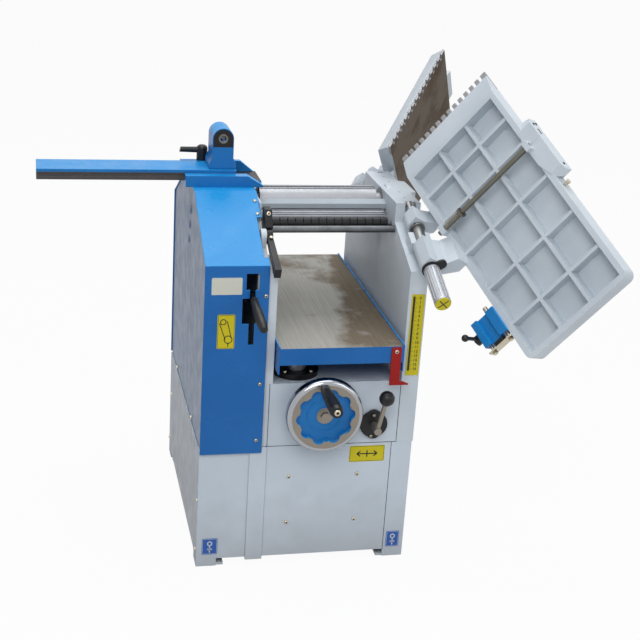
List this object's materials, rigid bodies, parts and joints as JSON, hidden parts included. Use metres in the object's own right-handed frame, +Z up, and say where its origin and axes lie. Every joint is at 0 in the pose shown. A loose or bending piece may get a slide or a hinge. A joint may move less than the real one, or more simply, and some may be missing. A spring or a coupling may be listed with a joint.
{
  "type": "combination planer thicknesser",
  "caption": "Floor-standing planer thicknesser with ribbed tables swung open on inclined hinges, a rising bed, feed rollers, drive cover and fence rail.",
  "frame": {"origin": "on the floor at the middle of the four anchor holes in the feet", "axes": "+X towards the table hinges, +Y from the operator to the rear, +Z up"},
  "size_m": [1.1034, 1.184, 1.0629],
  "materials": {
    "white_paint": "satin light grey machine enamel",
    "grey_panel": "satin grey enamel on sheet",
    "cast_paint": "light grey enamel on cast iron",
    "black_iron": "black enamel on steel",
    "dark_steel": "oiled dark steel",
    "bright_steel": "ground steel",
    "blue_paint": "gloss blue enamel",
    "yellow_plate": "printed yellow plate",
    "motor_paint": "grey painted aluminium",
    "belt_rubber": "black belt rubber",
    "blue_cast": "gloss blue enamel on cast iron",
    "bed_iron": "planed cast iron with oil stains",
    "red_paint": "red enamel",
    "bronze": "bronze",
    "black_plastic": "moulded black plastic",
    "knob_plastic": "light grey moulded plastic"
  },
  "bodies": {
    "frame": {"base_front_panel": "white_paint", "base_left_post": "white_paint", "base_left_panel": "grey_panel", "base_right_panel": "white_paint", "rear_panel": "white_paint", "front_wall": "white_paint", "deck": "cast_paint", "column_flanges": "black_iron", "side_plate_right": "cast_paint", "side_plate_left": "cast_paint", "cross_beams": "cast_paint", "cross_rods": "dark_steel", "cutter_bearings": "bright_steel", "drive_cover": "blue_paint", "cover_side_panel": "grey_panel", "scale_plate": "yellow_plate", "lift_gearbox": "cast_paint", "motor": "motor_paint", "drive_belt": "belt_rubber", "feed_chain": "dark_steel", "fence_bracket": "blue_cast", "shoulder_clamps": "black_iron", "feed_flange": "black_iron", "outfeed_shaft": "bright_steel"},
    "cutterhead": {"cutterhead": "bright_steel", "cutter_knives": "bright_steel", "cutter_pulley": "dark_steel"},
    "infeed_roller": {"infeed_roller": "dark_steel"},
    "outfeed_roller": {"outfeed_roller": "bright_steel"},
    "kickback_fingers": {"kickback_fingers": "black_iron"},
    "motor_rotor": {"motor_pulley": "dark_steel"},
    "thickness_table": {"thickness_table": "bed_iron", "lift_columns": "bright_steel", "pointer": "red_paint"},
    "lift_nut": {"lift_nut": "bronze"},
    "handwheel": {"handwheel": "blue_cast", "handwheel_shaft": "bright_steel"},
    "wheel_grip": {"wheel_grip": "black_plastic"},
    "feed_lever": {"feed_lever": "bright_steel", "feed_knob": "black_plastic"},
    "belt_lever": {"belt_lever": "bright_steel", "belt_grip": "black_plastic"},
    "infeed_shaft": {"infeed_shaft": "bright_steel"},
    "adjust_knob": {"adjust_knob": "knob_plastic", "knob_cap": "yellow_plate"},
    "infeed_table": {"infeed_table": "cast_paint", "infeed_lip": "bright_steel", "knob_flange": "black_plastic", "infeed_spring": "dark_steel", "guard_bracket": "blue_cast"},
    "infeed_rod": {"infeed_rod": "bright_steel"},
    "guard_lever": {"guard_lever": "black_plastic"},
    "outfeed_table": {"outfeed_table": "cast_paint", "outfeed_lip": "bright_steel"},
    "outfeed_rod": {"outfeed_rod": "bright_steel"},
    "fence_rail": {"fence_rail": "blue_cast", "fence_upright": "blue_cast"},
    "fence_lever": {"fence_lever": "black_plastic"},
    "front_clamp_lever": {"front_clamp_lever": "black_iron"},
    "rear_clamp_lever": {"rear_clamp_lever": "black_iron"}
  },
  "joints": [
    {"name": "cutterhead_spin", "type": "hinge", "parent": "frame", "child": "cutterhead", "pos_m": [0.05, 0, 0.744], "axis": [1, 0, 0], "continuous": true},
    {"name": "motor_spin", "type": "hinge", "parent": "frame", "child": "motor_rotor", "pos_m": [-0.15, 0.15, 0.13], "axis": [1, 0, 0], "continuous": true},
    {"name": "infeed_roller_spin", "type": "hinge", "parent": "frame", "child": "infeed_roller", "pos_m": [0.05, -0.068, 0.7252], "axis": [1, 0, 0], "continuous": true},
    {"name": "outfeed_roller_spin", "type": "hinge", "parent": "frame", "child": "outfeed_roller", "pos_m": [0.05, 0.068, 0.7252], "axis": [1, 0, 0], "continuous": true},
    {"name": "kickback_swing", "type": "hinge", "parent": "frame", "child": "kickback_fingers", "pos_m": [0.05, -0.112, 0.724], "axis": [1, 0, 0], "range_deg": [0, 45]},
    {"name": "table_lift", "type": "slide", "parent": "frame", "child": "thickness_table", "axis": [0, 0, 1], "range_m": [-0.01, 0.18]},
    {"name": "lift_nut_turn", "type": "hinge", "parent": "frame", "child": "lift_nut", "pos_m": [0.05, 0, 0.33], "axis": [0, 0, 1], "continuous": true},
    {"name": "handwheel_turn", "type": "hinge", "parent": "frame", "child": "handwheel", "pos_m": [0.022, -0.33, 0.3745], "axis": [0, 1, 0], "continuous": true},
    {"name": "wheel_grip_spin", "type": "hinge", "parent": "handwheel", "child": "wheel_grip", "pos_m": [0.01642, -0.38, 0.43826], "axis": [0, 1, 0], "continuous": true},
    {"name": "feed_lever_swing", "type": "hinge", "parent": "frame", "child": "feed_lever", "pos_m": [0.141, -0.3, 0.33], "axis": [0, 1, 0], "range_deg": [0, 55]},
    {"name": "belt_lever_swing", "type": "hinge", "parent": "frame", "child": "belt_lever", "pos_m": [-0.1342, -0.205, 0.598], "axis": [1, 0, 0], "range_deg": [0, 25]},
    {"name": "infeed_height", "type": "slide", "parent": "frame", "child": "infeed_shaft", "axis": [0, 0.9205, 0.3907], "range_m": [-0.01, 0]},
    {"name": "infeed_swing", "type": "hinge", "parent": "infeed_shaft", "child": "infeed_table", "pos_m": [0.229, -0.15, 0.75711], "axis": [0, 0.9205, 0.3907], "range_deg": [-121, 0]},
    {"name": "adjust_knob_turn", "type": "hinge", "parent": "infeed_shaft", "child": "adjust_knob", "pos_m": [0.229, -0.15, 0.75711], "axis": [0, 0.9205, 0.3907], "continuous": true},
    {"name": "infeed_rod_slide", "type": "slide", "parent": "infeed_table", "child": "infeed_rod", "axis": [0.515, -0.3349, 0.789], "range_m": [0, 0.008]},
    {"name": "guard_lever_turn", "type": "hinge", "parent": "infeed_table", "child": "guard_lever", "pos_m": [0.31937, -0.39532, 0.5623], "axis": [-0.515, 0.3349, -0.789], "range_deg": [-60, 60]},
    {"name": "outfeed_swing", "type": "hinge", "parent": "frame", "child": "outfeed_table", "pos_m": [0.229, 0.15, 0.75711], "axis": [0, 0.9205, -0.3907], "range_deg": [-121, 0]},
    {"name": "outfeed_rod_slide", "type": "slide", "parent": "outfeed_table", "child": "outfeed_rod", "axis": [0.515, 0.3349, 0.789], "range_m": [0, 0.008]},
    {"name": "fence_slide", "type": "slide", "parent": "frame", "child": "fence_rail", "axis": [1, 0, 0], "range_m": [0, 0.2]},
    {"name": "fence_lever_turn", "type": "hinge", "parent": "frame", "child": "fence_lever", "pos_m": [-0.199, 0.0579, 0.83], "axis": [0, 0, 1], "range_deg": [-60, 60]},
    {"name": "front_clamp_turn", "type": "hinge", "parent": "frame", "child": "front_clamp_lever", "pos_m": [-0.1, -0.201, 0.72414], "axis": [1, 0, 0], "range_deg": [-15, 0]},
    {"name": "rear_clamp_turn", "type": "hinge", "parent": "frame", "child": "rear_clamp_lever", "pos_m": [-0.1, 0.201, 0.72414], "axis": [1, 0, 0], "range_deg": [0, 15]}
  ],
  "couplings": [
    {"joint": "motor_spin", "follows": "cutterhead_spin", "ratio": 0.73333},
    {"joint": "outfeed_roller_spin", "follows": "infeed_roller_spin", "ratio": 1},
    {"joint": "lift_nut_turn", "follows": "table_lift", "rad_per_m": 1570.8},
    {"joint": "handwheel_turn", "follows": "table_lift", "rad_per_m": 1570.8},
    {"joint": "adjust_knob_turn", "follows": "infeed_height", "rad_per_m": 3141.6}
  ]
}
